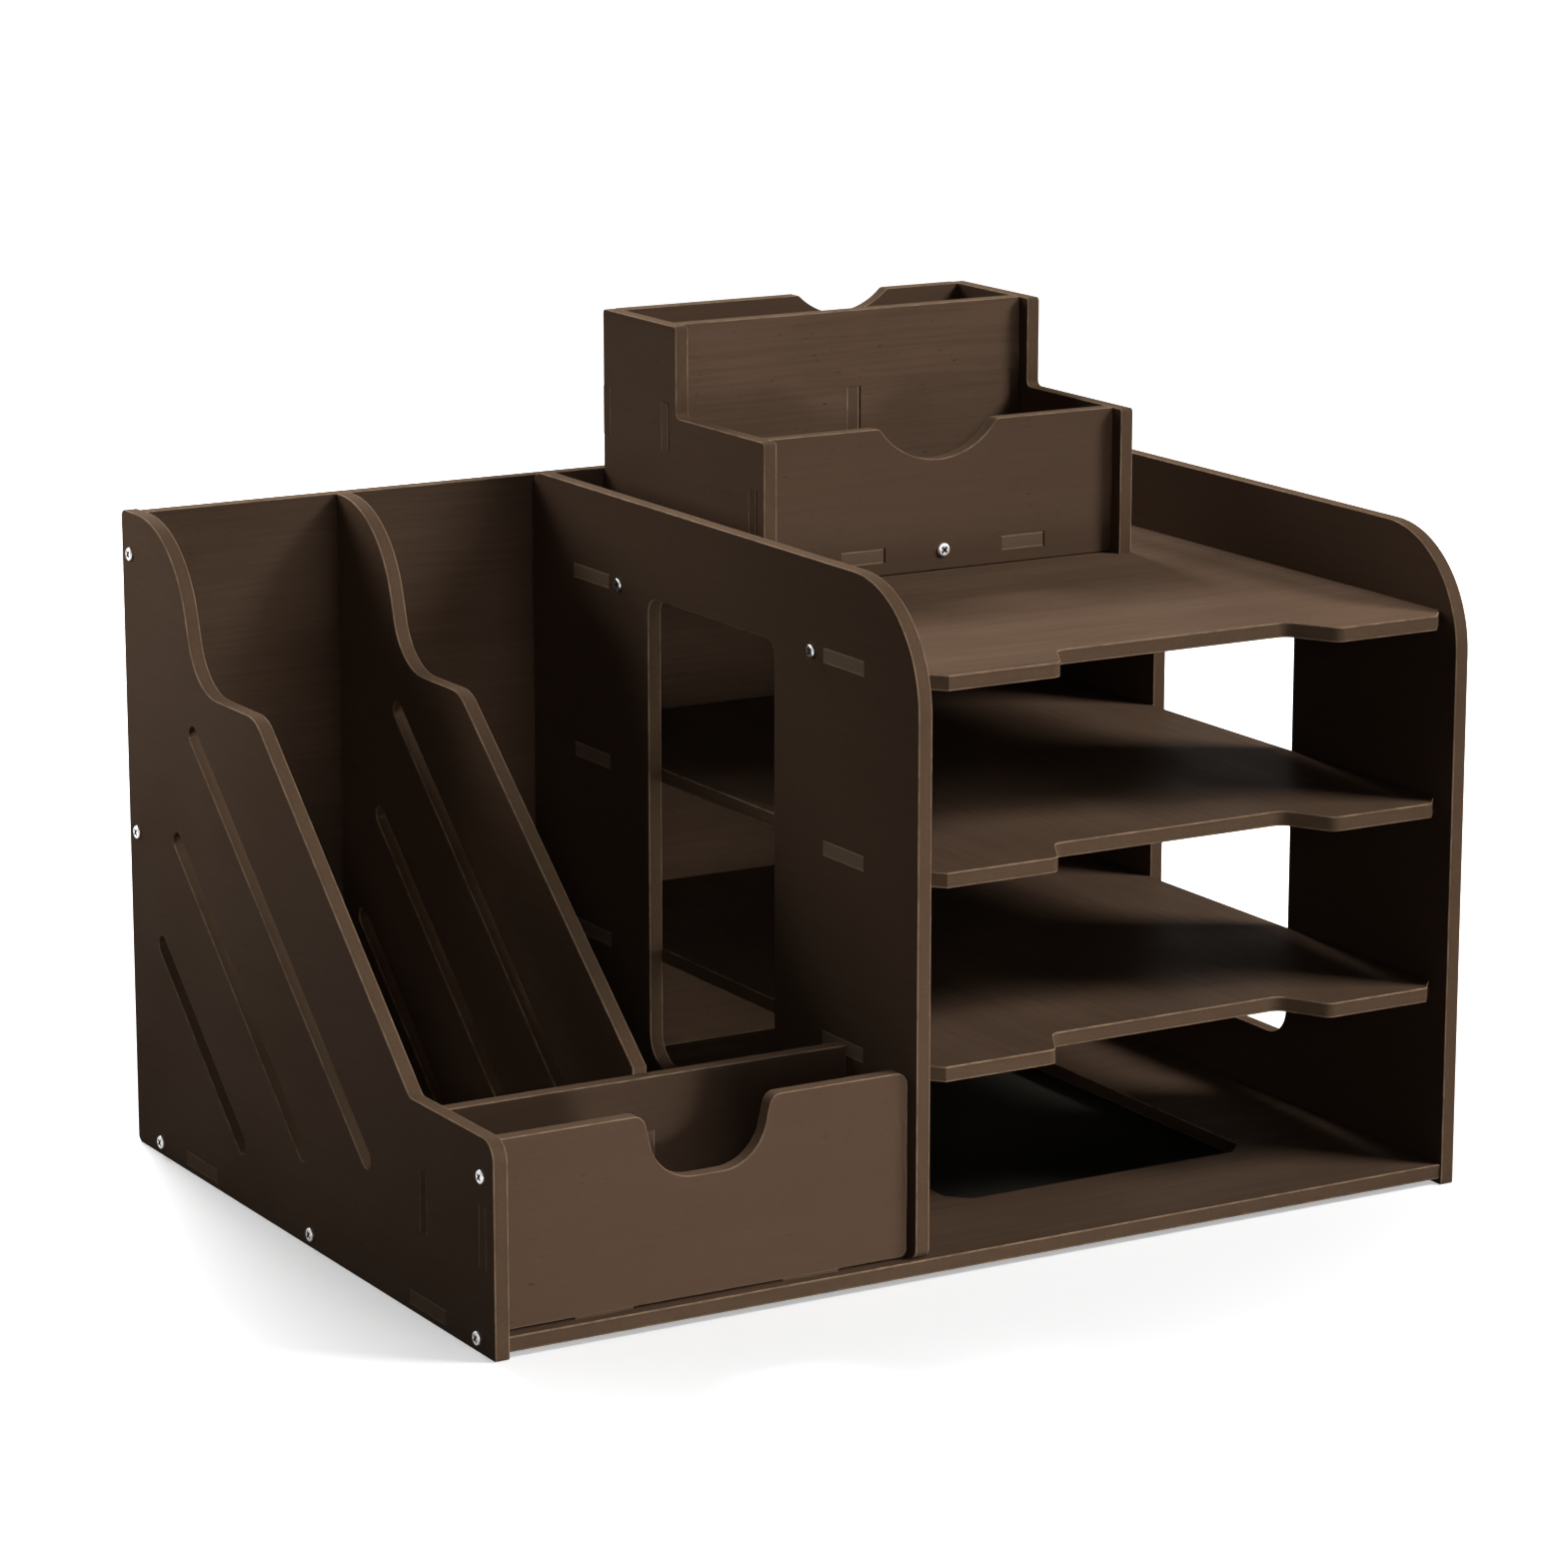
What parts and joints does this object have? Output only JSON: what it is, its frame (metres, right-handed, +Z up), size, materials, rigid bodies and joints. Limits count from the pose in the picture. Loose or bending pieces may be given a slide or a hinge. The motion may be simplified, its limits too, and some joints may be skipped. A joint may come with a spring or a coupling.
{
  "type": "document organizer",
  "caption": "Desk organizer of dark wood boards: file bays behind a small tray, letter shelves, and a loose two-tier caddy on top.",
  "frame": {"origin": "on the desk, under the middle of the two side panels", "axes": "+X to the right seen from the front, +Y to the back, +Z up"},
  "size_m": [0.4326, 0.319, 0.3296],
  "materials": {
    "upright_side_board": "satin laminated board, dark brown, lighter cut edges",
    "upright_cross_board": "satin laminated board, dark brown, lighter cut edges",
    "flat_board": "satin laminated board, dark brown, lighter cut edges",
    "screw_steel": "bright zinc-plated steel"
  },
  "bodies": {
    "rack": {"left_side_panel": "upright_side_board", "file_divider": "upright_side_board", "middle_panel": "upright_side_board", "right_side_panel": "upright_side_board", "back_panel": "upright_cross_board", "base_board": "flat_board", "top_shelf": "flat_board", "upper_shelf": "flat_board", "lower_shelf": "flat_board", "tray_front_wall": "upright_cross_board", "tray_back_wall": "upright_cross_board", "left_panel_screws": "screw_steel", "middle_panel_screws": "screw_steel", "right_panel_screws": "screw_steel"},
    "caddy": {"caddy_left_side": "upright_side_board", "caddy_right_side": "upright_side_board", "caddy_front_wall": "upright_cross_board", "caddy_step_wall": "upright_cross_board", "caddy_back_wall": "upright_cross_board", "caddy_floor": "flat_board", "caddy_divider": "upright_side_board", "caddy_screw": "screw_steel"}
  },
  "joints": [
    {"name": "caddy_lift", "type": "slide", "parent": "rack", "child": "caddy", "axis": [0, 0, 1], "range_m": [0, 0.12]}
  ]
}
